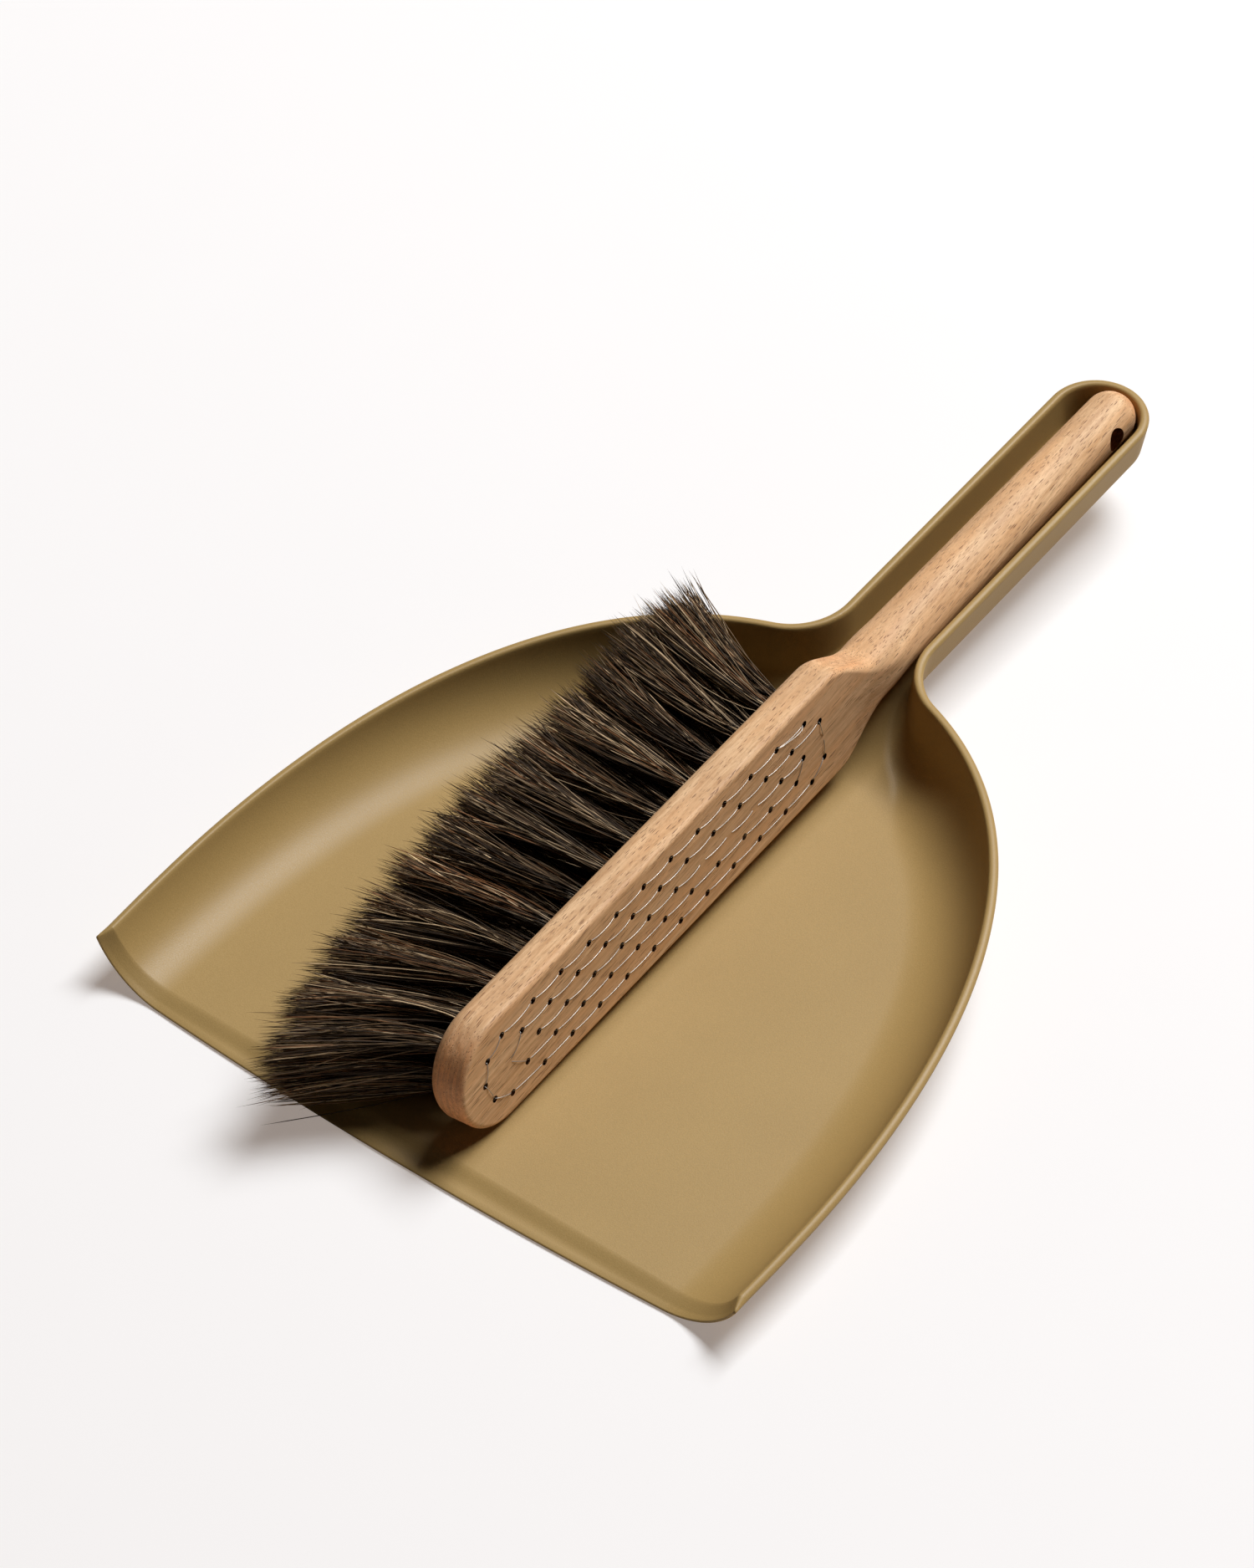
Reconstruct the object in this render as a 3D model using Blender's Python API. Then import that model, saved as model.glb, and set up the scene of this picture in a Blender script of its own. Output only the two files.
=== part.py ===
"""A dustpan with a hand brush lying in it.

The dustpan is one injection-moulded shell: a flat floor, walls that sweep up from it on a wide
fillet, and a hollow trough for a handle. The brush is a beech block and handle in one piece,
drilled with stepped holes. A tuft of horsehair is drawn into each hole by one steel wire, which
runs along the drawing face from hole to hole. The brush lies on its long edge in the pan, with
its handle in the trough, and lifts straight out.

Metres, +Z up, +Y from the pan's lip towards its handle. The origin is on the pan's flat
underside, 95 mm behind the lip.
"""

import math

import bmesh
import bpy
from mathutils import Matrix, Vector

# ---- dustpan ----
LIP_Y = -0.095              # the front corners of the rim
HALF_WIDTH = 0.1127         # widest half of the rim, outside
CORNER_HALF_WIDTH = 0.1120  # half width at the front corners
WIDEST_Y = 0.033            # from the corners to the widest place
SIDE_PULL = 0.083           # how far the side runs on before it turns in
SHOULDER_PULL = 0.062       # how far the shoulder runs in before it meets the neck
SHOULDER_SLOPE = math.radians(20)
NECK_RADIUS = 0.020
NECK_Y = 0.2275             # where the handle's straight sides begin
HANDLE_HALF_WIDTH = 0.0162
HANDLE_END_Y = 0.3345       # centre of the round end
RIM_FRONT = 0.0145          # height of the rim at the front corners
RIM_RISE = 0.054            # rise of the rim for each metre along the pan
WALL = 0.0022
RIM_WALL = 0.0029           # the wall swells towards the rim
LIP_WALL = 0.0008           # thickness at the lip's edge
LIP_BOW = 0.0043            # how far the lip's middle stands in front of its corners
LIP_BEVEL = 0.0045          # from the corners back to where the lip's bevel begins
PAN_FILLET = 0.026
PAN_DRAFT = math.radians(12)
TROUGH_FILLET = 0.005
TROUGH_DRAFT = math.radians(9)
TROUGH_DEPTH = 0.0150       # from the rim down to the trough's underside
RAMP_START_Y = 0.186        # where the floor begins to climb to the trough
RAMP_END_Y = 0.224
BLEND_X = 0.058             # half width at which the pan's wall begins to turn into the trough's
BLEND_Y = 0.193             # and the place along the pan
WALL_STEPS = 6              # mesh rows up a wall
FLOOR_STEPS = 3             # mesh columns over half of the floor

# ---- brush, in its own frame: x across the drawing face, y towards the handle, z out of the face ----
BRUSH_PLACE = Vector((0.0116, 0.1569 + LIP_Y, 0.0257))
BRUSH_YAW = math.radians(0.9)
BRUSH_INCLINE = math.radians(1.8)
BRUSH_TILT = math.radians(82.4)
BLOCK_HALF_WIDTH = 0.0182
BLOCK_THICK = 0.0130
TIP_Y = -0.1313             # centre of the block's round end
FACE_EDGE = 0.0016          # edge radius round the drawing face
BACK_EDGE = 0.0050          # edge radius on the bristle side
SHOULDER_START = 0.027      # where the block begins to narrow to the handle
SHOULDER_END = 0.050
ROUND_START = 0.032         # where its section begins to turn round
ROUND_END = 0.068
THIN_START = 0.034          # where it begins to reach the handle's thickness
THIN_END = 0.060
ROUNDEST = 0.97             # share of the handle's radius that its edges are rounded by
GRIP_RADIUS = 0.0088
END_RADIUS = 0.0080
DOME_Y = 0.1815             # centre of the handle's round end
HANG_Y = 0.1735
HANG_RADIUS = 0.0037

# ---- drawn tufts ----
PITCH = 0.0128
ROW_STEP = 0.0060
TOP_HOLE_Y = 0.0212         # the hole nearest the handle
END_HOLE_Y = -0.1394        # the hole nearest the round end
BORE_RADIUS = 0.0025
BORE_DEPTH = 0.0090         # from the bristle side
OVERCUT = 0.001             # how far the holes' cutter stands out of the block
PILOT_RADIUS = 0.0010       # from the drawing face
PILOT_TAPER = 0.0006        # between the two
TUFT_ROOT = 0.0020
TUFT_TIP = 0.0041
HAIR = 0.0545               # from the block's back to the tips
FAN_EASE = 1.35             # how late along their length the tufts lean out
TIP_ROW_TOP = -0.0205       # where the two outer rows' tips lie across the brush
TIP_ROW_BOTTOM = 0.0060
FAN_FRONT = 0.0260          # how far the end tufts' tips lean out along the brush
FAN_BACK = 0.0110
FAN_BACK_LESS = 0.0050      # the lower rows lean less towards the handle, past the pan's wall
FAN_POWER = 1.6
WIRE_RADIUS = 0.00018
WIRE_LIFT = 0.0006
WIRE_DIP = 0.0013
WIRE_LEG = 0.00035          # from a hole's middle to where the wire goes down or comes up
GAP = 0.0004
WEB_DEPTH = 0.8             # how far along its length a shared tuft's two halves are joined
# Neighbouring tufts at the two ends whose hair runs together, two to a solid, by place along the wire.
SHARED_TUFTS = ((11, 12), (13, 41), (14, 15), (42, 16), (26, 27), (30, 53), (29, 0))


def smooth(t):
    t = min(max(t, 0.0), 1.0)
    return t * t * (3.0 - 2.0 * t)


def mix(a, b, t):
    return a + (b - a) * t


def clear_scene():
    for obj in list(bpy.data.objects):
        bpy.data.objects.remove(obj, do_unlink=True)


def material(name, color, roughness, metallic=0.0):
    mat = bpy.data.materials.new(name)
    mat.use_nodes = True
    shader = mat.node_tree.nodes["Principled BSDF"]
    shader.inputs["Base Color"].default_value = (*color, 1.0)
    shader.inputs["Roughness"].default_value = roughness
    shader.inputs["Metallic"].default_value = metallic
    return mat


def link_object(name, mesh, mat):
    obj = bpy.data.objects.new(name, mesh)
    bpy.context.scene.collection.objects.link(obj)
    mesh.materials.append(mat)
    return obj


def mesh_from(name, verts, faces):
    """A closed mesh from points and faces, its faces pointing out."""
    mesh = bpy.data.meshes.new(name)
    bm = bmesh.new()
    made = [bm.verts.new(v) for v in verts]
    for face in faces:
        bm.faces.new([made[i] for i in face])
    bmesh.ops.recalc_face_normals(bm, faces=bm.faces)
    bm.to_mesh(mesh)
    bm.free()
    mesh.shade_smooth()
    mesh.set_sharp_from_angle(angle=math.radians(35))
    return mesh


def modifier(obj, kind, **settings):
    mod = obj.modifiers.new(kind.title(), kind)
    for key, value in settings.items():
        setattr(mod, key, value)
    return mod


def cutter(name, mesh):
    obj = bpy.data.objects.new(name, mesh)
    bpy.context.scene.collection.objects.link(obj)
    obj.hide_render = True
    obj.display_type = "WIRE"
    return obj


# ---------------------------------------------------------------- dustpan

def rim_height(y):
    return RIM_FRONT + RIM_RISE * y


def bezier(p0, p1, p2, p3, t):
    s = 1.0 - t
    return s ** 3 * p0 + 3 * s * s * t * p1 + 3 * s * t * t * p2 + t ** 3 * p3


def rim_outline():
    """Half of the rim's outer edge, from the front corner round to the handle's end."""
    neck_centre = Vector((HANDLE_HALF_WIDTH + NECK_RADIUS, NECK_Y))
    neck_from = math.radians(270) - SHOULDER_SLOPE
    widest = Vector((HALF_WIDTH, WIDEST_Y))
    neck_start = neck_centre + NECK_RADIUS * Vector((math.cos(neck_from), math.sin(neck_from)))
    corner = Vector((CORNER_HALF_WIDTH, 0.0))
    inward = Vector((-math.cos(SHOULDER_SLOPE), math.sin(SHOULDER_SLOPE)))
    line = [corner]
    for y in (LIP_BEVEL, 0.55 * WIDEST_Y):
        swell = math.sin(math.radians(90) * y / WIDEST_Y)
        line.append(Vector((mix(CORNER_HALF_WIDTH, HALF_WIDTH, swell), y)))
    side = (widest, widest + Vector((0, SIDE_PULL)), neck_start - inward * SHOULDER_PULL, neck_start)
    line += [bezier(*side, k / 16) for k in range(17)]
    for k in range(1, 9):
        angle = mix(neck_from, math.pi, k / 8)
        line.append(neck_centre + NECK_RADIUS * Vector((math.cos(angle), math.sin(angle))))
    line += [Vector((HANDLE_HALF_WIDTH, mix(NECK_Y, HANDLE_END_Y, k / 4))) for k in range(1, 5)]
    for k in range(1, 7):
        angle = math.radians(90) * k / 6
        line.append(Vector((HANDLE_HALF_WIDTH * math.cos(angle),
                            HANDLE_END_Y + HANDLE_HALF_WIDTH * math.sin(angle))))
    line[-1].x = 0.0
    return line


def trough_blend(point):
    """0 along the pan's side, 1 along the handle, easing over the shoulder and neck."""
    if point.y > NECK_Y:
        return 1.0
    if point.x > BLEND_X:
        return 0.0
    turned_in = (BLEND_X - point.x) / (BLEND_X - HANDLE_HALF_WIDTH)
    climbed = (point.y - BLEND_Y) / (NECK_Y - BLEND_Y)
    return smooth(mix(turned_in, climbed, 0.45))


def floor_height(y):
    return smooth((y - RAMP_START_Y) / (RAMP_END_Y - RAMP_START_Y)) * (rim_height(y) - TROUGH_DEPTH)


def wall_profile(height, radius, draft, steps):
    """(distance in from the rim, height above the floor) from the floor's edge up to the rim."""
    top = min(math.radians(90) - draft, math.acos(max(-1.0, 1.0 - height / radius)))
    arc_height = radius * (1.0 - math.cos(top))
    straight = max(height - arc_height, 0.0) / math.cos(draft)
    reach = radius * math.sin(top) + straight * math.sin(draft)
    length = radius * top + straight
    points = []
    for k in range(steps + 1):
        run = length * k / steps
        angle = min(run / radius, top)
        past = max(run - radius * top, 0.0)
        inward = reach - radius * math.sin(angle) - past * math.sin(draft)
        points.append((inward, radius * (1.0 - math.cos(angle)) + past * math.cos(draft)))
    return points


def pan_rows():
    """Rows of points on the pan's outer skin, each running from the left rim over the floor to the right."""
    line = rim_outline()
    rows = []
    for i, point in enumerate(line):
        before = line[max(i - 1, 0)]
        after = line[min(i + 1, len(line) - 1)]
        along = (after - before).normalized() if i < len(line) - 1 else Vector((-1, 0))
        if i == 0:
            along = Vector((0, 1))
        inward = Vector((-along.y, along.x))
        blend = trough_blend(point)
        radius = mix(PAN_FILLET, TROUGH_FILLET, blend)
        draft = mix(PAN_DRAFT, TROUGH_DRAFT, blend)
        rim = rim_height(point.y)
        height = rim
        for _ in range(6):
            profile = wall_profile(height, radius, draft, WALL_STEPS)
            foot = point + inward * profile[0][0]
            height = rim - floor_height(foot.y)
        half = []
        for distance, up in profile:
            spot = point + inward * distance
            half.append(Vector((max(spot.x, 0.0), spot.y, rim - height + up)))
        middle = [Vector((half[0].x * k / FLOOR_STEPS, half[0].y, half[0].z)) for k in range(FLOOR_STEPS)]
        right = middle + half
        left = [Vector((-p.x, p.y, p.z)) for p in reversed(right[1:])]
        rows.append(left + right)
    for p in rows[0]:
        p.y -= LIP_BOW * (1.0 - (p.x / CORNER_HALF_WIDTH) ** 2)
    return rows


def wall_thickness(y, z):
    """Thickness at a height and a distance from the lip's corner."""
    if y < 0.0001:
        return LIP_WALL
    low = floor_height(y)
    return mix(WALL, RIM_WALL, smooth((z - low) / (rim_height(y) - low)))


def make_pan(mat):
    rows = pan_rows()
    width = len(rows[0])
    verts = [(p.x, p.y + LIP_Y, p.z) for row in rows for p in row]
    faces = []
    for i in range(len(rows) - 1):
        for j in range(width - 1):
            a = i * width + j
            faces.append((a, a + width, a + width + 1, a + 1))
    mesh = bpy.data.meshes.new("pan")
    bm = bmesh.new()
    made = [bm.verts.new(v) for v in verts]
    for face in faces:
        bm.faces.new([made[k] for k in face])
    bmesh.ops.remove_doubles(bm, verts=bm.verts, dist=0.00002)
    bm.to_mesh(mesh)
    bm.free()
    mesh.shade_smooth()
    pan = link_object("pan", mesh, mat)
    group = pan.vertex_groups.new(name="thickness")
    for vertex in mesh.vertices:
        share = wall_thickness(vertex.co.y - LIP_Y, vertex.co.z) / RIM_WALL
        group.add([vertex.index], share, "REPLACE")
    modifier(pan, "SOLIDIFY", thickness=RIM_WALL, offset=-1.0, use_even_offset=True,
             use_quality_normals=True, vertex_group=group.name)
    return pan


# ---------------------------------------------------------------- brush block

def brush_frame():
    turn = (Matrix.Rotation(BRUSH_YAW, 4, "Z") @ Matrix.Rotation(BRUSH_INCLINE, 4, "X")
            @ Matrix.Rotation(BRUSH_TILT, 4, "Y"))
    return Matrix.Translation(BRUSH_PLACE) @ turn


def section(half_width, half_thick, face_edge, back_edge):
    """Half of the block's section as (out, z), from the face's middle round to the back's."""
    middle = -BLOCK_THICK / 2
    face_edge = min(face_edge, half_width, half_thick)
    back_edge = min(back_edge, half_width, half_thick)
    points = [(0.0, middle + half_thick)]
    for k in range(3):
        angle = math.radians(90) * k / 2
        points.append((half_width - face_edge * (1 - math.sin(angle)),
                       middle + half_thick - face_edge * (1 - math.cos(angle))))
    for k in range(5):
        angle = math.radians(90) * k / 4
        points.append((half_width - back_edge * (1 - math.cos(angle)),
                       middle - half_thick + back_edge * (1 - math.sin(angle))))
    points.append((0.0, middle - half_thick))
    return points


def block_section(y):
    """The half section at a place along the brush, past the round end."""
    shoulder = smooth((y - SHOULDER_START) / (SHOULDER_END - SHOULDER_START))
    grip = mix(GRIP_RADIUS, END_RADIUS, min(max((y - SHOULDER_END) / (DOME_Y - SHOULDER_END), 0), 1))
    if y > DOME_Y:
        grip = math.sqrt(max(END_RADIUS ** 2 - (y - DOME_Y) ** 2, 0.0))
    rounding = smooth((y - ROUND_START) / (ROUND_END - ROUND_START))
    half_width = mix(BLOCK_HALF_WIDTH, grip, shoulder)
    half_thick = mix(BLOCK_THICK / 2, grip, smooth((y - THIN_START) / (THIN_END - THIN_START)))
    return section(half_width, half_thick,
                   mix(FACE_EDGE, grip * ROUNDEST, rounding), mix(BACK_EDGE, grip * ROUNDEST, rounding))


def tuft_places():
    """Where the holes are, in the order in which the wire passes them."""
    outer = 2 * ROW_STEP
    down = [(-0.0112, 0.0134)] + [(-outer, -PITCH * k) for k in range(10)]
    tip = [(-0.0112, -0.1296), (-0.0073, -0.1368), (0.0, END_HOLE_Y), (0.0073, -0.1368), (0.0112, -0.1296)]
    up = [(outer, -PITCH * k) for k in reversed(range(10))] + [(0.0112, 0.0134)]
    top = [(0.0069, 0.0203), (0.0, TOP_HOLE_Y), (-0.0069, 0.0203)]
    second = [(-ROW_STEP, PITCH * (0.5 - k)) for k in range(11)]
    turn = [(0.0, -0.1285)]
    fourth = [(ROW_STEP, PITCH * (0.5 - k)) for k in reversed(range(11))]
    middle = [(0.0, 0.0110)] + [(0.0, -PITCH * k) for k in range(10)]
    return down + tip + up + top + second + turn + fourth + middle


def make_block(mat):
    stations = [TIP_Y, mix(TIP_Y, SHOULDER_START, 0.5), SHOULDER_START]
    stations += [mix(SHOULDER_START, ROUND_END, k / 9) for k in range(1, 10)]
    stations += [mix(ROUND_END, DOME_Y, k / 3) for k in (1, 2)]
    stations += [DOME_Y + END_RADIUS * math.sin(math.radians(a)) for a in (0, 25, 47, 66, 80)]
    verts = []
    faces = []
    for y in stations:
        half = block_section(y)
        verts += [(x, y, z) for x, z in half]
        verts += [(-x, y, z) for x, z in reversed(half[1:-1])]
    half_count = len(section(1, 1, 0, 0))
    count = 2 * half_count - 2
    for i in range(len(stations) - 1):
        for j in range(count):
            a = i * count + j
            b = i * count + (j + 1) % count
            faces.append((a, b, b + count, a + count))
    last = (len(stations) - 1) * count
    faces.append(tuple(last + j for j in range(count)))
    # The round end is the block's edge section turned half a turn about the end's centre.
    turns = 12
    base = section(BLOCK_HALF_WIDTH, BLOCK_THICK / 2, FACE_EDGE, BACK_EDGE)
    columns = [list(range(half_count))]
    for k in range(1, turns):
        angle = math.pi * k / turns
        column = [0]
        for r, z in base[1:-1]:
            column.append(len(verts))
            verts.append((r * math.cos(angle), TIP_Y - r * math.sin(angle), z))
        column.append(half_count - 1)
        columns.append(column)
    columns.append([0] + [count - j for j in range(1, half_count - 1)] + [half_count - 1])
    for first, second in zip(columns[:-1], columns[1:]):
        for j in range(half_count - 1):
            face = [first[j], first[j + 1], second[j + 1], second[j]]
            faces.append(tuple(dict.fromkeys(face)))
    mesh = mesh_from("brush_block", verts, faces)
    block = link_object("brush_block", mesh, mat)
    block.matrix_world = brush_frame()
    holes = cutter("tuft_holes", hole_mesh())
    holes.matrix_world = brush_frame()
    through = 2 * BLOCK_THICK
    bore = prism_mesh("hanging_hole", HANG_RADIUS, -through, through, 16, (0.0, HANG_Y))
    hang = cutter("hanging_hole", bore)
    hang.matrix_world = brush_frame()
    modifier(block, "BOOLEAN", operation="DIFFERENCE", solver="EXACT", object=holes)
    modifier(block, "BOOLEAN", operation="DIFFERENCE", solver="EXACT", object=hang)
    return block


def turned(profile, sides, centre):
    """Points and faces of a solid turned about a line along z, from (radius, z) pairs."""
    verts = []
    faces = []
    for r, z in profile:
        for k in range(sides):
            angle = 2 * math.pi * k / sides
            verts.append((centre[0] + r * math.cos(angle), centre[1] + r * math.sin(angle), z))
    for i in range(len(profile) - 1):
        for k in range(sides):
            a = i * sides + k
            b = i * sides + (k + 1) % sides
            faces.append((a, b, b + sides, a + sides))
    faces.append(tuple(reversed(range(sides))))
    faces.append(tuple(range((len(profile) - 1) * sides, len(profile) * sides)))
    return verts, faces


def prism_mesh(name, radius, low, high, sides, centre):
    verts, faces = turned([(radius, low), (radius, high)], sides, centre)
    return mesh_from(name, verts, faces)


def hole_mesh():
    bore_end = -BLOCK_THICK + BORE_DEPTH
    profile = [(BORE_RADIUS, -BLOCK_THICK - OVERCUT), (BORE_RADIUS, bore_end),
               (PILOT_RADIUS, bore_end + PILOT_TAPER), (PILOT_RADIUS, OVERCUT)]
    verts = []
    faces = []
    for place in tuft_places():
        more_verts, more_faces = turned(profile, 6, place)
        faces += [tuple(i + len(verts) for i in face) for face in more_faces]
        verts += more_verts
    return mesh_from("tuft_holes", verts, faces)


# ---------------------------------------------------------------- tufts and wire

def tuft_tip(x, y, depth):
    """Where a tuft's middle is at a depth, 0 at the block's back and 1 at the tips.

    The tufts fan out. The lower ones, at positive x, are held up by the pan's floor.
    """
    ease = depth ** FAN_EASE
    row = (x + 2 * ROW_STEP) / (4 * ROW_STEP)
    middle_y = (TOP_HOLE_Y + END_HOLE_Y) / 2
    reach = 2 * (y - middle_y) / (TOP_HOLE_Y - END_HOLE_Y)
    if reach < 0:
        lean = -FAN_FRONT * abs(reach) ** FAN_POWER
    else:
        lean = (FAN_BACK - FAN_BACK_LESS * smooth(row)) * reach ** FAN_POWER
    return mix(x, mix(TIP_ROW_TOP, TIP_ROW_BOTTOM, row), ease), mix(y, y + lean, ease)


def make_tuft(name, place, mat):
    x, y = place
    back = -BLOCK_THICK
    sides = 6
    levels = [(back + BORE_DEPTH - GAP, TUFT_ROOT, 0.0), (back - 0.001, TUFT_ROOT, 0.0)]
    for depth in (0.3, 0.62, 0.93):
        levels.append((back - HAIR * depth, mix(TUFT_ROOT, TUFT_TIP, depth ** 0.8), depth))
    levels.append((back - HAIR, TUFT_TIP * 0.55, 1.0))
    verts = []
    for z, radius, depth in levels:
        centre_x, centre_y = tuft_tip(x, y, depth)
        for k in range(sides):
            angle = 2 * math.pi * (k + 0.5) / sides
            verts.append((centre_x + radius * math.cos(angle), centre_y + radius * math.sin(angle), z))
    faces = []
    for i in range(len(levels) - 1):
        for k in range(sides):
            a = i * sides + k
            b = i * sides + (k + 1) % sides
            faces.append((a, b, b + sides, a + sides))
    faces.append(tuple(range(sides)))
    faces.append(tuple(range((len(levels) - 1) * sides, len(levels) * sides)))
    tuft = link_object(name, mesh_from(name, verts, faces), mat)
    tuft.matrix_world = brush_frame()
    return tuft


def join_tufts(first, second, place_a, place_b):
    """Two neighbouring tufts whose hair runs together make one solid: a web joins them near the tips."""
    a = Vector(tuft_tip(*place_a, WEB_DEPTH))
    b = Vector(tuft_tip(*place_b, WEB_DEPTH))
    z = -BLOCK_THICK - HAIR * WEB_DEPTH
    along = (b - a).normalized()
    side = Vector((-along.y, along.x)) * TUFT_TIP / 2
    corners = [a + side, a - side, b - side, b + side]
    verts = [(c.x, c.y, z - TUFT_TIP) for c in corners] + [(c.x, c.y, z + TUFT_TIP) for c in corners]
    faces = [(0, 3, 2, 1), (4, 5, 6, 7)] + [(k, (k + 1) % 4, (k + 1) % 4 + 4, k + 4) for k in range(4)]
    web = cutter(first.name + "_web", mesh_from(first.name + "_web", verts, faces))
    web.matrix_world = brush_frame()
    second.hide_render = True
    second.display_type = "WIRE"
    modifier(first, "BOOLEAN", operation="UNION", solver="EXACT", object=web)
    modifier(first, "BOOLEAN", operation="UNION", solver="EXACT", object=second)


def make_tufts(mat):
    places = tuft_places()
    made = [make_tuft("tuft_%02d" % (index + 1), place, mat) for index, place in enumerate(places)]
    for index, partner in SHARED_TUFTS:
        join_tufts(made[index], made[partner], places[index], places[partner])


def wire_route():
    """The wire's centre line: across the face between holes, and down into each hole and out."""
    places = [Vector(place) for place in tuft_places()]
    points = []
    for i, place in enumerate(places):
        into = (place - places[i - 1]).normalized() if i else (places[1] - place).normalized()
        out = (places[i + 1] - place).normalized() if i < len(places) - 1 else into
        enter = place - into * WIRE_LEG
        leave = place + out * WIRE_LEG
        if i:
            points.append((enter.x, enter.y, WIRE_LIFT))
        points.append((enter.x, enter.y, -WIRE_DIP))
        points.append((leave.x, leave.y, -WIRE_DIP))
        if i < len(places) - 1:
            points.append((leave.x, leave.y, WIRE_LIFT))
    return points


def make_wire(mat):
    curve = bpy.data.curves.new("drawing_wire", "CURVE")
    curve.dimensions = "3D"
    curve.bevel_depth = WIRE_RADIUS
    curve.bevel_resolution = 0
    curve.use_fill_caps = True
    route = wire_route()
    spline = curve.splines.new("POLY")
    spline.points.add(len(route) - 1)
    for point, spot in zip(spline.points, route):
        point.co = (*spot, 1.0)
    wire = bpy.data.objects.new("drawing_wire", curve)
    bpy.context.scene.collection.objects.link(wire)
    curve.materials.append(mat)
    wire.matrix_world = brush_frame()
    return wire


def main():
    clear_scene()
    make_pan(material("ochre_plastic", (0.42, 0.28, 0.105), 0.42))
    make_block(material("oiled_beech", (0.62, 0.39, 0.21), 0.55))
    make_wire(material("steel_wire", (0.75, 0.74, 0.72), 0.25, 1.0))
    make_tufts(material("horsehair", (0.045, 0.033, 0.026), 0.6))


main()
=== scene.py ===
"""The looks of the dustpan and brush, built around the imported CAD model.

The shapes repeat the CAD's driving dimensions at a finer resolution, in the same frame: metres, +Z up,
+Y from the pan's lip to its handle. Only the wire, the holes that it passes and the hair differ: they are
finer, and the hair fans out further. The brush's pieces are made in the brush's own frame: x across the
drawing face, y towards the handle, z out of the face.
"""

import math

import bmesh
import bpy
import numpy as np
from mathutils import Matrix, Vector
from mathutils.bvhtree import BVHTree


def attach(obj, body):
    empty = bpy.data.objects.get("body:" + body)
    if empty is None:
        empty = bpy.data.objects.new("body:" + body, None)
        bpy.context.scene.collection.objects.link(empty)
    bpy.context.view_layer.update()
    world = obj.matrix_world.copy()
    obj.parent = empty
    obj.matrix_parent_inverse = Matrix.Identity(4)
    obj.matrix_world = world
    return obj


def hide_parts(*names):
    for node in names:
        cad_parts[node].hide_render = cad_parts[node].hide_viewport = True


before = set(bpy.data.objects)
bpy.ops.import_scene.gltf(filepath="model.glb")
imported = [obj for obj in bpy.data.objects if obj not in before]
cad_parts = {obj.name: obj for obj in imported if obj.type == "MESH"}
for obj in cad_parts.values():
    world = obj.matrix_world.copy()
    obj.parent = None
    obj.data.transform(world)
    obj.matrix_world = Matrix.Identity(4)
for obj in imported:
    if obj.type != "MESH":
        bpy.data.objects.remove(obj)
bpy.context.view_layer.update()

# ---- dustpan ----
LIP_Y = -0.095              # the front corners of the rim
HALF_WIDTH = 0.1127         # widest half of the rim, outside
CORNER_HALF_WIDTH = 0.1120  # half width at the front corners
WIDEST_Y = 0.033            # from the corners to the widest place
SIDE_PULL = 0.083           # how far the side runs on before it turns in
SHOULDER_PULL = 0.062       # how far the shoulder runs in before it meets the neck
SHOULDER_SLOPE = math.radians(20)
NECK_RADIUS = 0.020
NECK_Y = 0.2275             # where the handle's straight sides begin
HANDLE_HALF_WIDTH = 0.0162
HANDLE_END_Y = 0.3345       # centre of the round end
RIM_FRONT = 0.0145          # height of the rim at the front corners
RIM_RISE = 0.054            # rise of the rim for each metre along the pan
WALL = 0.0022
RIM_WALL = 0.0029           # the wall swells towards the rim
LIP_WALL = 0.0008           # thickness at the lip's edge
LIP_BOW = 0.0043            # how far the lip's middle stands in front of its corners
LIP_BEVEL = 0.0045          # from the corners back to where the lip's bevel begins
CREASE = 0.00025            # mesh rows this close on both sides of the bevel's edge keep it crisp
PAN_FILLET = 0.026
PAN_DRAFT = math.radians(12)
TROUGH_FILLET = 0.005
TROUGH_DRAFT = math.radians(9)
TROUGH_DEPTH = 0.0150       # from the rim down to the trough's underside
RAMP_START_Y = 0.186        # where the floor begins to climb to the trough
RAMP_END_Y = 0.224
BLEND_X = 0.058             # half width at which the pan's wall begins to turn into the trough's
BLEND_Y = 0.193             # and the place along the pan
WALL_STEPS = 30             # mesh rows up a wall
FLOOR_STEPS = 22            # mesh columns over half of the floor
BEAD_STEPS = 8              # mesh rows over the rounded rim
BEAD_HEIGHT = 0.0015        # how far the rim's rounding reaches down the wall
BEAD_FULLNESS = 0.75        # below 1 the bead is squarer than half an ellipse

# ---- brush ----
BRUSH_PLACE = Vector((0.0116, 0.1569 + LIP_Y, 0.0257))
BRUSH_YAW = math.radians(0.9)
BRUSH_INCLINE = math.radians(1.8)
BRUSH_TILT = math.radians(82.4)
BLOCK_HALF_WIDTH = 0.0182
BLOCK_THICK = 0.0130
TIP_Y = -0.1313             # centre of the block's round end
FACE_EDGE = 0.0016          # edge radius round the drawing face
BACK_EDGE = 0.0050          # edge radius on the bristle side
EDGE_GUARD = 0.0004         # a mesh row this far before an edge's rounding keeps the flat flat
SHOULDER_START = 0.027      # where the block begins to narrow to the handle
SHOULDER_END = 0.050
ROUND_START = 0.032         # where its section begins to turn round
ROUND_LENGTH = 0.036
THIN_START = 0.034          # where it begins to reach the handle's thickness
THIN_LENGTH = 0.026
ROUNDEST = 0.97             # share of the handle's radius that its edges are rounded by
GRIP_RADIUS = 0.0088
END_RADIUS = 0.0080
DOME_Y = 0.1815             # centre of the handle's round end
HANG_Y = 0.1735
HANG_RADIUS = 0.0037
END_TURNS = 48              # mesh steps round the block's round end

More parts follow.
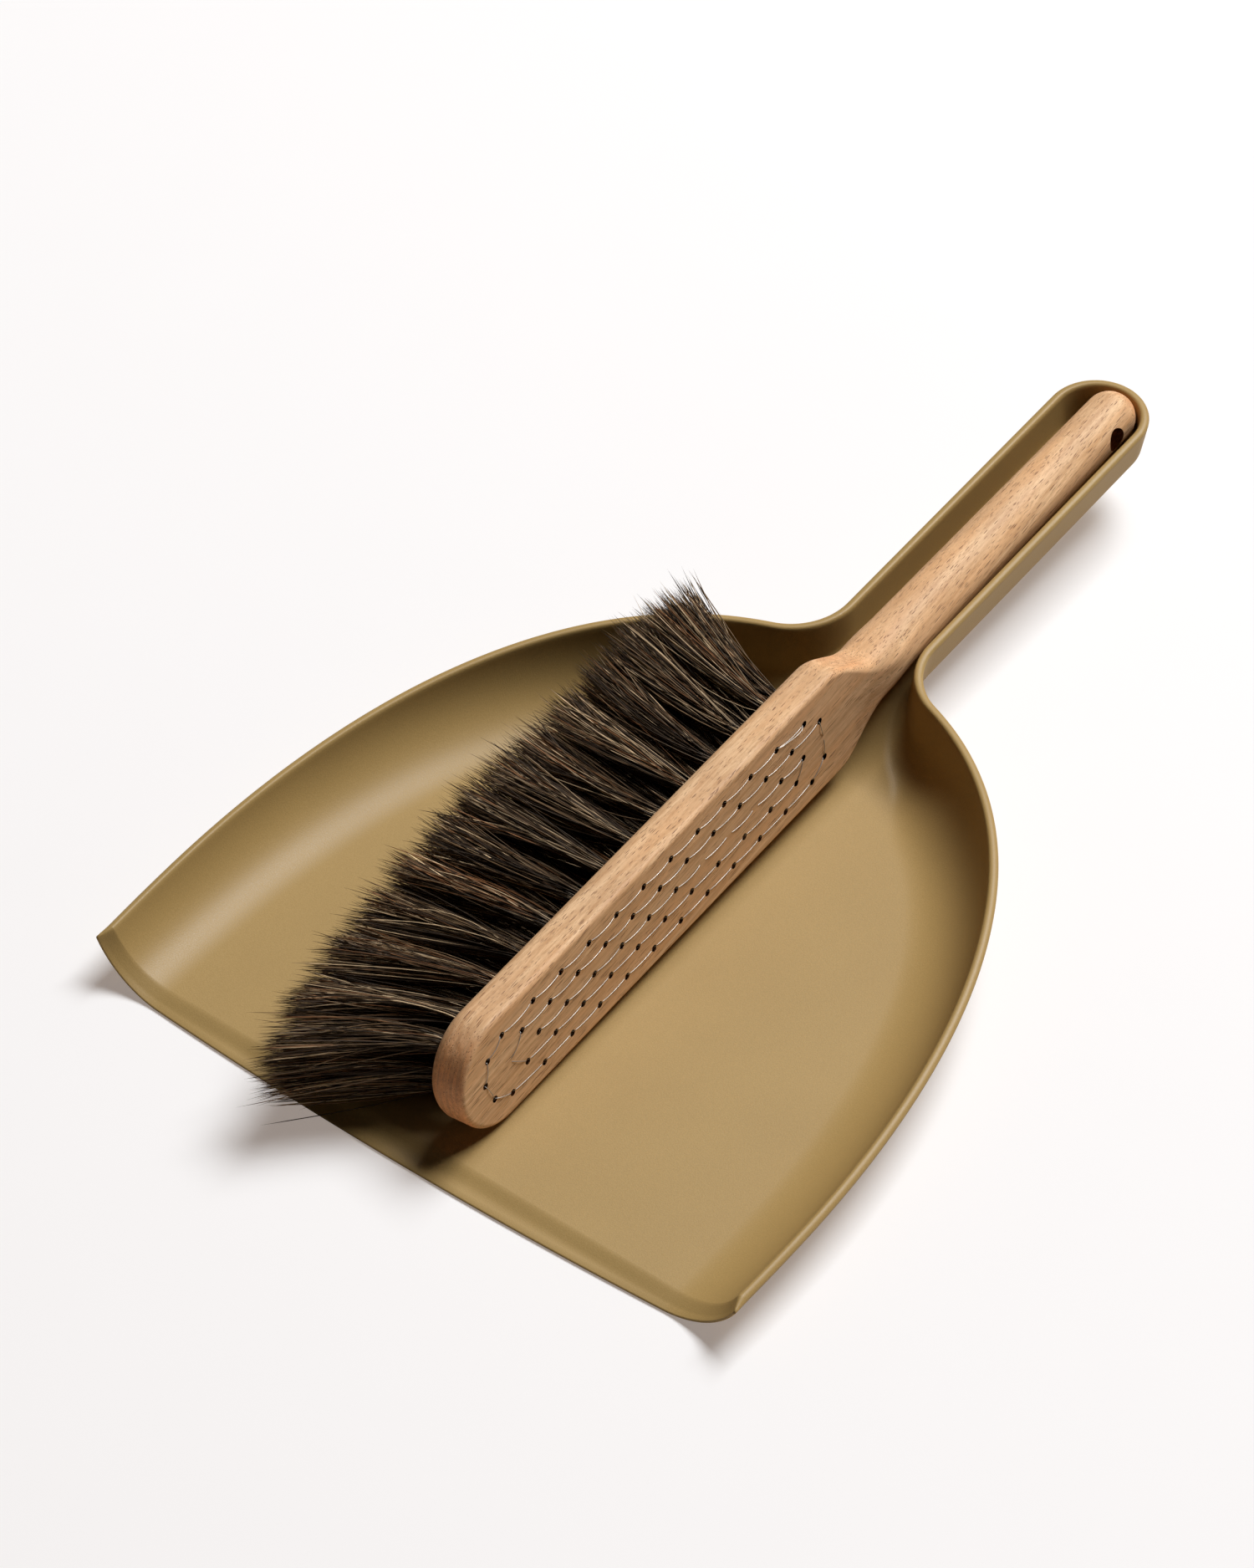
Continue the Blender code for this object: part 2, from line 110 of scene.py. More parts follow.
# ---- drawn tufts ----
PITCH = 0.0128
ROW_STEP = 0.0060
TOP_HOLE_Y = 0.0212         # the hole nearest the handle
END_HOLE_Y = -0.1394        # the hole nearest the round end
BORE_RADIUS = 0.0025
BORE_DEPTH = 0.0090         # from the bristle side
PILOT_RADIUS = 0.0009       # from the drawing face
PILOT_TAPER = 0.0006        # between the two
PILOT_BREAK = 0.0003        # the broken edge where the wire goes in
WIRE_RADIUS = 0.00013
WIRE_LIFT = 0.00035         # from the face to the middle of a stitch
WIRE_DIP = 0.0013           # how deep the wire goes into a hole
WIRE_LEG = 0.0005           # from a hole's middle to where the wire goes down or comes up
WIRE_SUNK = 0.0007          # depth at which a stitch begins and ends
STITCH_POINTS = 15
HAIR = 0.0545               # from the block's back to the tips
HAIR_SUNK = 0.0015          # how far a hair starts inside the block
ROOT_SPREAD = 0.0019        # radius of a tuft where it leaves the block
LOCK_SPREAD = (0.0050, 0.0078)   # half sizes of a tuft at its tips, across and along the brush
LOCK_SPREAD_EASE = 1.10
FAN_EASE = 1.35             # how late along their length the tufts lean out
TIP_ROW_TOP = -0.0170       # where the two outer rows' tips lie across the brush
TIP_ROW_BOTTOM = 0.0060
FAN_MIDDLE_Y = -0.0591      # the tufts on this line stand straight, and the others lean away from it
FAN_REACH = 0.0803          # from there to the end tufts
FAN_FRONT = 0.0310          # how far the end tufts' tips lean out along the brush
FAN_BACK = 0.0205
FAN_POWER = 0.6
FRONT_TRIM = 0.10           # the foremost tufts are shorter by this share
HAIR_ROOT_RADIUS = 0.000180
HAIR_TIP_RADIUS = 0.000130
STRANDS = 190               # hairs in a tuft
STRAND_STEPS = 8            # mesh steps along a hair
LOCKS = 16                  # locks that a tuft splits into
HAIR_CEILING = 0.0425       # height above which the upper hairs flatten
SEED = 20
# Neighbouring tufts that share a CAD node, by place along the wire.
SHARED_TUFTS = ((11, 12), (13, 41), (14, 15), (42, 16), (26, 27), (30, 53), (29, 0))

# ---- materials, light and camera ----
GRAIN_TURN = (0.0, 0.0, math.radians(-5))   # the beech's grain runs a little askew of the brush
PAPER_PAINTED_GLOW = 0.30           # share of the paper's brightness, seen directly, that is painted glow
PAPER_HALF_SIZE = 4.0
KEY_PLACE = Vector((0.07, 0.55, 0.83)) * 4.5
KEY_TARGET = (0, 0.02, 0)
KEY_SIZE = (2.4, 2.0)
KEY_POWER = 268
SIDE_PLACE = Vector((0.96, -0.05, 0.24)) * 2.5
SIDE_SIZE = (1.2, 0.7)
SIDE_POWER = 3.0
SIDE_COLOUR = (1.0, 0.93, 0.86)
SKY_COLOUR = (1.0, 0.92, 0.86, 1)
SKY_STRENGTH = 0.013
CAMERA_PLACE = Vector((0.6604, -0.8632, 1.1791))
CAMERA_AZIMUTH = math.radians(37.28)
CAMERA_ELEVATION = math.radians(45.64)
CAMERA_LENS = 129.65


def smooth(t):
    """Eases from 0 to 1."""
    t = np.clip(t, 0.0, 1.0)
    return t * t * (3.0 - 2.0 * t)


def mix(a, b, t):
    """a at t = 0 and b at t = 1."""
    return a + (b - a) * t


# ---------------------------------------------------------------- helpers

def make_object(name, mesh, mat):
    """Puts a mesh with its material into the scene."""
    obj = bpy.data.objects.new(name, mesh)
    bpy.context.scene.collection.objects.link(obj)
    mesh.materials.append(mat)
    return obj


def mesh_of(name, verts, faces, weld=0.0, sharp=40):
    """A smooth-shaded mesh, welded closer than `weld` and with sharp edges above `sharp` degrees."""
    mesh = bpy.data.meshes.new(name)
    mesh.from_pydata([tuple(v) for v in verts], [], faces)
    bm = bmesh.new()
    bm.from_mesh(mesh)
    if weld:
        bmesh.ops.remove_doubles(bm, verts=bm.verts, dist=weld)
    bmesh.ops.recalc_face_normals(bm, faces=bm.faces)
    bm.to_mesh(mesh)
    bm.free()
    mesh.shade_smooth()
    mesh.set_sharp_from_angle(angle=math.radians(sharp))
    return mesh


# ---------------------------------------------------------------- node materials

class Shader:
    """A Principled material and short calls that add nodes to it."""

    def __init__(self, name):
        self.mat = bpy.data.materials.new(name)
        self.mat.use_nodes = True
        self.tree = self.mat.node_tree
        self.surface = self.tree.nodes["Principled BSDF"]

    def set(self, **values):
        for key, value in values.items():
            self.surface.inputs[key.replace("_", " ")].default_value = value

    def feed(self, socket, source):
        self.tree.links.new(source, self.surface.inputs[socket])

    def add(self, kind, inputs=(), **settings):
        made = self.tree.nodes.new(kind)
        for key, value in settings.items():
            setattr(made, key, value)
        for key, value in dict(inputs).items():
            if isinstance(value, bpy.types.NodeSocket):
                self.tree.links.new(value, made.inputs[key])
            else:
                made.inputs[key].default_value = value
        return made

    def coords(self):
        return self.add("ShaderNodeTexCoord").outputs["Object"]

    def stretched(self, source, scale):
        return self.add("ShaderNodeMapping", {"Vector": source, "Scale": scale}).outputs["Vector"]

    def noise(self, source, scale=1.0, detail=2.0, roughness=0.5):
        made = self.add("ShaderNodeTexNoise", {"Vector": source, "Scale": scale, "Detail": detail,
                                               "Roughness": roughness})
        return made.outputs["Fac"]

    def math(self, kind, a, b=0.0):
        return self.add("ShaderNodeMath", {0: a, 1: b}, operation=kind).outputs[0]

    def ranged(self, source, low, high, to_low=0.0, to_high=1.0):
        made = self.add("ShaderNodeMapRange", {"Value": source, "From Min": low, "From Max": high,
                                               "To Min": to_low, "To Max": to_high})
        return made.outputs["Result"]

    def mixed(self, factor, a, b, kind="MIX"):
        """Mixes two colours. A colour mix has its factor at input 0, and its colours at 6 and 7."""
        made = self.add("ShaderNodeMix", {0: factor, 6: a, 7: b}, data_type="RGBA", blend_type=kind)
        return made.outputs[2]

    def bump(self, height, distance, strength):
        inputs = {"Height": height, "Distance": distance, "Strength": strength}
        return self.add("ShaderNodeBump", inputs).outputs["Normal"]


def plastic_material():
    """Satin moulded plastic: a fine spark-eroded texture, and faint clouds in the colour."""
    shader = Shader("ochre_plastic")
    place = shader.coords()
    clouds = shader.noise(place, 22.0, 3.0)
    grain = shader.noise(place, 2600.0, 2.0, 0.6)
    tint = shader.mixed(shader.ranged(clouds, 0.3, 0.7), (0.384, 0.250, 0.090, 1), (0.408, 0.267, 0.097, 1))
    speck = shader.mixed(shader.ranged(grain, 0.35, 0.7), (0.93, 0.93, 0.93, 1), (1.04, 1.04, 1.04, 1))
    shader.feed("Base Color", shader.mixed(1.0, tint, speck, "MULTIPLY"))
    shader.feed("Roughness", shader.ranged(grain, 0.3, 0.7, 0.38, 0.50))
    shader.feed("Normal", shader.bump(grain, 0.00004, 0.8))
    shader.set(IOR=1.48, Specular_IOR_Level=0.32)
    return shader.mat


def fleck_mask(shader, source, reach):
    """Short marks: stretched cells of a Voronoi pattern, each with its own size, some with none."""
    cells = shader.add("ShaderNodeTexVoronoi", {"Vector": source, "Scale": 1.0, "Randomness": 1.0})
    chance = shader.add("ShaderNodeSeparateColor", {"Color": cells.outputs["Color"]})
    size = shader.ranged(chance.outputs[0], 0.0, 1.0, -0.18, reach)
    return shader.ranged(shader.math("SUBTRACT", size, cells.outputs["Distance"]), 0.0, 0.12)


def beech_material():
    """Oiled beech: straight fine grain along the brush, faint rings, and short dark ray flecks."""
    shader = Shader("oiled_beech")
    own = shader.add("ShaderNodeMapping", {"Vector": shader.coords(), "Location": BRUSH_PLACE,
                                           "Rotation": brush_matrix().to_euler()},
                     vector_type="TEXTURE").outputs["Vector"]
    place = shader.add("ShaderNodeMapping", {"Vector": own, "Rotation": GRAIN_TURN}).outputs["Vector"]
    streaks = shader.noise(shader.stretched(place, (800, 20, 800)), 1.0, 4.0, 0.68)
    pores = shader.noise(shader.stretched(place, (5200, 260, 5200)), 1.0, 2.0, 0.6)
    tone = shader.noise(shader.stretched(place, (170, 8, 170)), 1.0, 2.0)
    rings = shader.add("ShaderNodeTexWave", {"Vector": shader.stretched(place, (1.0, 0.05, 0.55)),
                                             "Scale": 70.0, "Distortion": 3.0, "Detail": 2.0,
                                             "Detail Scale": 0.7}).outputs["Fac"]
    wavy = shader.noise(shader.stretched(place, (500, 120, 500)), 1.0, 1.0)
    bent = shader.add("ShaderNodeVectorMath", {0: place, 1: shader.math("MULTIPLY", wavy, 0.0004)},
                      operation="ADD").outputs[0]
    large = fleck_mask(shader, shader.stretched(bent, (3200, 130, 3200)), 0.46)
    small = fleck_mask(shader, shader.stretched(bent, (5200, 240, 5200)), 0.45)
    fleck = shader.math("MAXIMUM", large, shader.math("MULTIPLY", small, 0.55))
    pale = shader.mixed(shader.ranged(streaks, 0.36, 0.66),
                        (0.600, 0.335, 0.160, 1), (0.900, 0.600, 0.345, 1))
    warm = shader.mixed(shader.ranged(tone, 0.40, 0.62, 0.0, 0.60), pale, (0.76, 0.420, 0.200, 1))
    ringed = shader.mixed(shader.math("MULTIPLY", rings, 0.24), warm, (0.50, 0.300, 0.165, 1))
    lined = shader.mixed(shader.ranged(pores, 0.52, 0.80, 0.0, 0.50), ringed, (0.40, 0.205, 0.095, 1))
    flecked = shader.mixed(shader.math("MULTIPLY", fleck, 0.86), lined, (0.170, 0.065, 0.025, 1))
    # End grain at the round end and the dome drinks more oil and is darker and redder, in bands.
    bands = shader.noise(shader.stretched(place, (60, 60, 1500)), 1.0, 2.0)
    normal = shader.add("ShaderNodeTexCoord").outputs["Normal"]
    facing = shader.add("ShaderNodeSeparateXYZ", {"Vector": normal})
    end_grain = shader.ranged(shader.math("ABSOLUTE", facing.outputs["Y"]), 0.25, 0.85, 0.0, 0.85)
    oiled = shader.mixed(1.0, flecked, (1.06, 0.73, 0.51, 1), "MULTIPLY")
    banded = shader.mixed(shader.ranged(bands, 0.42, 0.62, 0.0, 0.45), oiled, (0.30, 0.130, 0.055, 1))
    shader.feed("Base Color", shader.mixed(end_grain, flecked, banded))
    shader.feed("Roughness", shader.ranged(streaks, 0.3, 0.7, 0.52, 0.64))
    height = shader.math("SUBTRACT", shader.math("MULTIPLY", pores, -0.6),
                         shader.math("MULTIPLY", fleck, 0.8))
    shader.feed("Normal", shader.bump(height, 0.00008, 0.6))
    shader.set(Specular_IOR_Level=0.35)
    return shader.mat


def steel_material():
    """Drawn steel wire, dulled a little in places."""
    shader = Shader("bright_steel_wire")
    tarnish = shader.noise(shader.coords(), 160.0, 2.0)
    shade = shader.mixed(shader.ranged(tarnish, 0.4, 0.7), (0.60, 0.56, 0.52, 1), (0.42, 0.38, 0.34, 1))
    shader.feed("Base Color", shade)
    shader.feed("Roughness", shader.ranged(tarnish, 0.3, 0.7, 0.48, 0.60))
    shader.set(Metallic=1.0)
    return shader.mat


def horsehair_material():
    """Each hair carries its own colour, which a fine noise breaks up along its length."""
    shader = Shader("horsehair")
    own = shader.add("ShaderNodeAttribute", attribute_name="hair_colour").outputs["Color"]
    broken = shader.noise(shader.coords(), 420.0, 2.0)
    speck = shader.mixed(shader.ranged(broken, 0.3, 0.7), (0.70, 0.70, 0.70, 1), (1.25, 1.22, 1.18, 1))
    shader.feed("Base Color", shader.mixed(1.0, own, speck, "MULTIPLY"))
    shader.feed("Roughness", shader.ranged(broken, 0.3, 0.7, 0.42, 0.58))
    shader.set(Specular_IOR_Level=0.35, Specular_Tint=(1.0, 0.86, 0.70, 1))
    return shader.mat


# ---------------------------------------------------------------- dustpan

def rim_height(y):
    """Height of the rim at a distance from the front corners."""
    return RIM_FRONT + RIM_RISE * y


def arc(centre, radius, start, end, steps):
    """Points round an arc, as (x, y) rows."""
    angles = np.linspace(start, end, steps + 1)
    return np.column_stack([centre[0] + radius * np.cos(angles), centre[1] + radius * np.sin(angles)])


def rim_outline():
    """Half of the rim's outer edge, from the front corner round to the handle's end, as (x, y) rows."""
    front = np.concatenate([np.linspace(0, LIP_BEVEL - CREASE, 7), [LIP_BEVEL, LIP_BEVEL + CREASE],
                            np.linspace(LIP_BEVEL + 0.0015, WIDEST_Y, 16)[:-1]])
    front_x = mix(CORNER_HALF_WIDTH, HALF_WIDTH, np.sin(math.pi / 2 * front / WIDEST_Y))
    neck_centre = np.array([HANDLE_HALF_WIDTH + NECK_RADIUS, NECK_Y])
    neck_from = math.radians(270) - SHOULDER_SLOPE
    neck = arc(neck_centre, NECK_RADIUS, neck_from, math.pi, 30)
    inward = np.array([-math.cos(SHOULDER_SLOPE), math.sin(SHOULDER_SLOPE)])
    p0 = np.array([HALF_WIDTH, WIDEST_Y])
    p1 = p0 + [0, SIDE_PULL]
    p2 = neck[0] - inward * SHOULDER_PULL
    t = np.linspace(0, 1, 85)[:, None]
    s = 1 - t
    side = s ** 3 * p0 + 3 * s * s * t * p1 + 3 * s * t * t * p2 + t ** 3 * neck[0]
    straight_y = np.linspace(NECK_Y, HANDLE_END_Y, 26)[1:]
    straight = np.column_stack([np.full(len(straight_y), HANDLE_HALF_WIDTH), straight_y])
    end = arc((0.0, HANDLE_END_Y), HANDLE_HALF_WIDTH, 0, math.pi / 2, 26)[1:]
    return np.concatenate([np.column_stack([front_x, front]), side, neck[1:], straight, end])


def trough_blend(x, y):
    """0 along the pan's side, 1 along the handle, easing over the shoulder and neck."""
    if y > NECK_Y:
        return 1.0
    if x > BLEND_X:
        return 0.0
    turned = (BLEND_X - x) / (BLEND_X - HANDLE_HALF_WIDTH)
    climbed = (y - BLEND_Y) / (NECK_Y - BLEND_Y)
    return float(smooth(0.55 * turned + 0.45 * climbed))


def floor_height(y):
    """The underside's height: flat under the pan, and along the rim's slope under the trough."""
    climbed = float(smooth((y - RAMP_START_Y) / (RAMP_END_Y - RAMP_START_Y)))
    return climbed * (rim_height(y) - TROUGH_DEPTH)


def wall_profile(height, radius, draft, bead):
    """(distance in from the rim, height above the floor) up the wall, ending where the rim's bead begins."""
    top = min(math.pi / 2 - draft, math.acos(max(-1.0, 1.0 - height / radius)))
    straight = max(height - radius * (1.0 - math.cos(top)), 0.0) / math.cos(draft)
    reach = radius * math.sin(top) + straight * math.sin(draft)
    run = (radius * top + straight - bead) * np.linspace(0, 1, WALL_STEPS + 1)
    angle = np.minimum(run / radius, top)
    past = np.maximum(run - radius * top, 0.0)
    inward = reach - radius * np.sin(angle) - past * math.sin(draft)
    return np.column_stack([inward, radius * (1.0 - np.cos(angle)) + past * math.cos(draft)])


def wall_thickness(y, z):
    """Thickness at a distance from the lip and a height. The wall swells towards the rim."""
    low = floor_height(y)
    full = mix(WALL, RIM_WALL, float(smooth((z - low) / (rim_height(y) - low))))
    return mix(LIP_WALL, full, min(max(y / LIP_BEVEL, 0.0), 1.0))


def pan_rows(line, along):
    """The pan's outer skin: rows of points that run from the left rim over the floor to the right one."""
    rows = []
    for (x, y), (ax, ay) in zip(line, along):
        inward = np.array([-ay, ax])
        blend = trough_blend(x, y)
        radius = mix(PAN_FILLET, TROUGH_FILLET, blend)
        draft = mix(PAN_DRAFT, TROUGH_DRAFT, blend)
        rim = rim_height(y)
        height = rim
        bead = min(BEAD_HEIGHT, 0.5 * wall_thickness(y, rim))
        # The wall's foot lies inwards of the rim, where the floor may be at another height, and how far
        # inwards depends on the wall's height, so a few turns settle the two.
        for _ in range(6):
            profile = wall_profile(height, radius, draft, bead)
            height = rim - floor_height(y + inward[1] * profile[0][0])
        wall = np.column_stack([np.maximum(x + inward[0] * profile[:, 0], 0.0),
                                y + inward[1] * profile[:, 0], rim - height + profile[:, 1]])
        share = np.linspace(0, 1, FLOOR_STEPS + 1)[:-1, None]
        floor = wall[0] * share * [1, 0, 0] + wall[0] * [0, 1, 1]
        right = np.concatenate([floor, wall])
        left = right[:0:-1] * [-1, 1, 1]
        row = np.concatenate([left, right])
        bow = LIP_BOW * (1.0 - min(y / LIP_BEVEL, 1.0))
        row[:, 1] += LIP_Y - bow * (1.0 - (row[:, 0] / CORNER_HALF_WIDTH) ** 2)
        rows.append(row)
    return np.array(rows)


def skin_normals(skin):
    """Unit normals of the outer skin, pointing into the wall."""
    across = np.gradient(skin, axis=1)
    along = np.gradient(skin, axis=0)
    along[-1] = skin[-1] - skin[-2]
    normal = np.cross(across, along)
    flat_end = np.linalg.norm(across[-1], axis=1) < 1e-9
    normal[-1][flat_end] = normal[-2][flat_end]
    normal /= np.maximum(np.linalg.norm(normal, axis=2, keepdims=True), 1e-12)
    return normal


def rim_loops(skin, inner, normal, thick):
    """Closed rings of points round the pan's section: the outer skin, a bead, the inner skin, a bead."""
    last = skin.shape[1] - 1
    theta = np.linspace(0, math.pi, BEAD_STEPS + 1)[1:-1]
    across = np.sign(np.cos(theta)) * np.abs(np.cos(theta)) ** BEAD_FULLNESS
    rise = np.sin(theta) ** BEAD_FULLNESS
    loops = []
    for i in range(len(skin)):
        t = thick[i, -1]
        bead = min(BEAD_HEIGHT, 0.5 * t)
        edges = []
        for j, before in ((last, last - 1), (0, 1)):
            up = skin[i, j] - skin[i, before]
            up /= np.linalg.norm(up)
            edges.append([skin[i, j] + normal[i, j] * t / 2 * (1 - c) + up * bead * s
                          for c, s in zip(across, rise)])
        loops.append(list(skin[i]) + edges[0] + list(inner[i][::-1]) + edges[1][::-1])
    return loops


def close_lip(verts, faces, skin, inner, size):
    """Closes the lip's front edge with a half round between the two skins of the first ring."""
    width = skin.shape[1]
    columns = [list(range(width))]
    for angle in (0.25 * math.pi, 0.5 * math.pi, 0.75 * math.pi):
        ids = []
        forward = np.array([0, -LIP_WALL / 2 * math.sin(angle), 0])
        for low, high in zip(skin[0], inner[0]):
            ids.append(len(verts))
            verts.append(mix(low, high, 0.5 - 0.5 * math.cos(angle)) + forward)
        columns.append(ids)
    columns.append([2 * width + BEAD_STEPS - 2 - j for j in range(width)])
    for first, second in zip(columns[:-1], columns[1:]):
        for j in range(width - 1):
            faces.append((first[j], first[j + 1], second[j + 1], second[j]))
    right_bead = [width + k for k in range(BEAD_STEPS - 1)]
    left_bead = [size - 1 - k for k in range(BEAD_STEPS - 1)]
    faces.append(tuple([column[-1] for column in columns] + right_bead[::-1]))
    faces.append(tuple([column[0] for column in columns][::-1] + left_bead))


def make_pan(mat):
    """The whole pan as one closed shell with a beaded rim."""
    line = rim_outline()
    along = np.gradient(line, axis=0)
    along[0] = (0, 1)
    along[-1] = (-1, 0)
    along /= np.linalg.norm(along, axis=1, keepdims=True)
    skin = pan_rows(line, along)
    normal = skin_normals(skin)
    # The last row lies in the mirror plane, and so do its normals.
    normal[-1, :, 0] = 0.0
    normal[-1] /= np.maximum(np.linalg.norm(normal[-1], axis=1, keepdims=True), 1e-12)
    thick = np.array([[wall_thickness(y - LIP_Y, z) for _, y, z in row] for row in skin])
    thick[0] = LIP_WALL
    inner = skin + normal * thick[:, :, None]
    loops = rim_loops(skin, inner, normal, thick)
    size = len(loops[0])
    verts = [point for loop in loops for point in loop]
    faces = []
    for i in range(len(loops) - 1):
        for j in range(size):
            k = (j + 1) % size
            faces.append((i * size + j, i * size + k, (i + 1) * size + k, (i + 1) * size + j))
    close_lip(verts, faces, skin, inner, size)
    pan = make_object("pan_shell", mesh_of("pan_shell", verts, faces, weld=1e-5, sharp=60), mat)
    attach(pan, "dustpan")
    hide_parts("pan")
    return pan


# ---------------------------------------------------------------- brush block

def brush_matrix():
    """From the brush's own frame to the shared one."""
    turn = (Matrix.Rotation(BRUSH_YAW, 4, "Z") @ Matrix.Rotation(BRUSH_INCLINE, 4, "X")
            @ Matrix.Rotation(BRUSH_TILT, 4, "Y"))
    return Matrix.Translation(BRUSH_PLACE) @ turn


def section(half_width, half_thick, face_edge, back_edge):
    """Half of the block's section as (out, z), from the face's middle round to the back's."""
    middle = -BLOCK_THICK / 2
    face_edge = min(face_edge, half_width, half_thick)
    back_edge = min(back_edge, half_width, half_thick)
    points = [(0.0, middle + half_thick),
              (max(half_width - face_edge - EDGE_GUARD, 0.0002), middle + half_thick)]
    for angle in np.linspace(0, math.pi / 2, 9):
        points.append((half_width - face_edge * (1 - math.sin(angle)),
                       middle + half_thick - face_edge * (1 - math.cos(angle))))
    low = middle - half_thick + back_edge
    high = middle + half_thick - face_edge
    points += [(half_width, mix(high, low, 0.06)), (half_width, mix(high, low, 0.94))]
    for angle in np.linspace(0, math.pi / 2, 11):
        points.append((half_width - back_edge * (1 - math.cos(angle)),
                       middle - half_thick + back_edge * (1 - math.sin(angle))))
    points += [(max(half_width - back_edge - EDGE_GUARD, 0.0001), middle - half_thick),
               (0.0, middle - half_thick)]
    return points


def block_section(y):
    """The half section at a place along the brush, past the round end."""
    shoulder = float(smooth((y - SHOULDER_START) / (SHOULDER_END - SHOULDER_START)))
    grip = mix(GRIP_RADIUS, END_RADIUS, min(max((y - SHOULDER_END) / (DOME_Y - SHOULDER_END), 0), 1))
    if y > DOME_Y:
        grip = math.sqrt(max(END_RADIUS ** 2 - (y - DOME_Y) ** 2, 0.0))
    rounding = float(smooth((y - ROUND_START) / ROUND_LENGTH))
    half_width = mix(BLOCK_HALF_WIDTH, grip, shoulder)
    half_thick = mix(BLOCK_THICK / 2, grip, float(smooth((y - THIN_START) / THIN_LENGTH)))
    return section(half_width, half_thick,
                   mix(FACE_EDGE, grip * ROUNDEST, rounding), mix(BACK_EDGE, grip * ROUNDEST, rounding))


def tuft_places():
    """Where the holes are, in the order in which the wire passes them."""
    outer = 2 * ROW_STEP
    down = [(-0.0112, 0.0134)] + [(-outer, -PITCH * k) for k in range(10)]
    tip = [(-0.0112, -0.1296), (-0.0073, -0.1368), (0.0, END_HOLE_Y), (0.0073, -0.1368), (0.0112, -0.1296)]
    up = [(outer, -PITCH * k) for k in reversed(range(10))] + [(0.0112, 0.0134)]
    top = [(0.0069, 0.0203), (0.0, TOP_HOLE_Y), (-0.0069, 0.0203)]
    second = [(-ROW_STEP, PITCH * (0.5 - k)) for k in range(11)]
    turn = [(0.0, -0.1285)]
    fourth = [(ROW_STEP, PITCH * (0.5 - k)) for k in reversed(range(11))]
    middle = [(0.0, 0.0110)] + [(0.0, -PITCH * k) for k in range(10)]
    return down + tip + up + top + second + turn + fourth + middle


def turned(profile, sides, centre):
    """Points and faces of a solid turned about a line along z, from (radius, z) pairs."""
    verts = []
    faces = []
    for r, z in profile:
        for k in range(sides):
            angle = 2 * math.pi * k / sides
            verts.append((centre[0] + r * math.cos(angle), centre[1] + r * math.sin(angle), z))
    for i in range(len(profile) - 1):
        for k in range(sides):
            a = i * sides + k
            b = i * sides + (k + 1) % sides
            faces.append((a, b, b + sides, a + sides))
    faces.append(tuple(reversed(range(sides))))
    faces.append(tuple(range((len(profile) - 1) * sides, len(profile) * sides)))
    return verts, faces


def hole_cutter():
    """The tuft holes' stepped bores, with a broken edge where the wire goes in, and the hanging hole."""
    step = -BLOCK_THICK + BORE_DEPTH
    wide = PILOT_RADIUS + PILOT_BREAK
    profile = [(BORE_RADIUS, -BLOCK_THICK - 0.002), (BORE_RADIUS, step), (PILOT_RADIUS, step + PILOT_TAPER),
               (PILOT_RADIUS, -PILOT_BREAK), (wide, 0.0002), (wide, 0.001)]
    parts = [turned(profile, 16, place) for place in tuft_places()]
    hang = [(HANG_RADIUS, -0.030), (HANG_RADIUS, 0.015)]
    parts.append(turned(hang, 48, (0.0, HANG_Y)))
    verts = []
    faces = []
    for more_verts, more_faces in parts:
        faces += [tuple(i + len(verts) for i in face) for face in more_faces]
        verts += more_verts
    return mesh_of("holes", verts, faces)


def close_round_end(verts, faces, half_count, count):
    """Turns the block's section about the centre of its round end, from one side to the other."""
    base = section(BLOCK_HALF_WIDTH, BLOCK_THICK / 2, FACE_EDGE, BACK_EDGE)
    columns = [list(range(half_count))]
    for k in range(1, END_TURNS):
        angle = math.pi * k / END_TURNS
        column = [0]
        for r, z in base[1:-1]:
            column.append(len(verts))
            verts.append((r * math.cos(angle), TIP_Y - r * math.sin(angle), z))
        column.append(half_count - 1)
        columns.append(column)
    columns.append([0] + [count - j for j in range(1, half_count - 1)] + [half_count - 1])
    for first, second in zip(columns[:-1], columns[1:]):
        for j in range(half_count - 1):
            face = [first[j], first[j + 1], second[j + 1], second[j]]
            faces.append(tuple(dict.fromkeys(face)))


def block_mesh():
    """The block and handle before they are drilled: sections along the brush, closed at both ends."""
    stations = np.concatenate([
        [TIP_Y, TIP_Y + 0.001], np.linspace(TIP_Y, SHOULDER_START - 0.0005, 12)[1:],
        np.linspace(SHOULDER_START, 0.070, 44), np.linspace(0.070, DOME_Y, 22)[1:],
        DOME_Y + END_RADIUS * np.sin(np.linspace(0, math.radians(88), 16))[1:]])
    verts = []
    faces = []
    for y in stations:
        half = block_section(float(y))
        verts += [(x, y, z) for x, z in half]
        verts += [(-x, y, z) for x, z in reversed(half[1:-1])]
    half_count = len(half)
    count = 2 * half_count - 2
    for i in range(len(stations) - 1):
        for j in range(count):
            a = i * count + j
            b = i * count + (j + 1) % count
            faces.append((a, b, b + count, a + count))
    last = (len(stations) - 1) * count
    faces.append(tuple(last + j for j in range(count)))
    close_round_end(verts, faces, half_count, count)
    return mesh_of("beech_block", verts, faces)


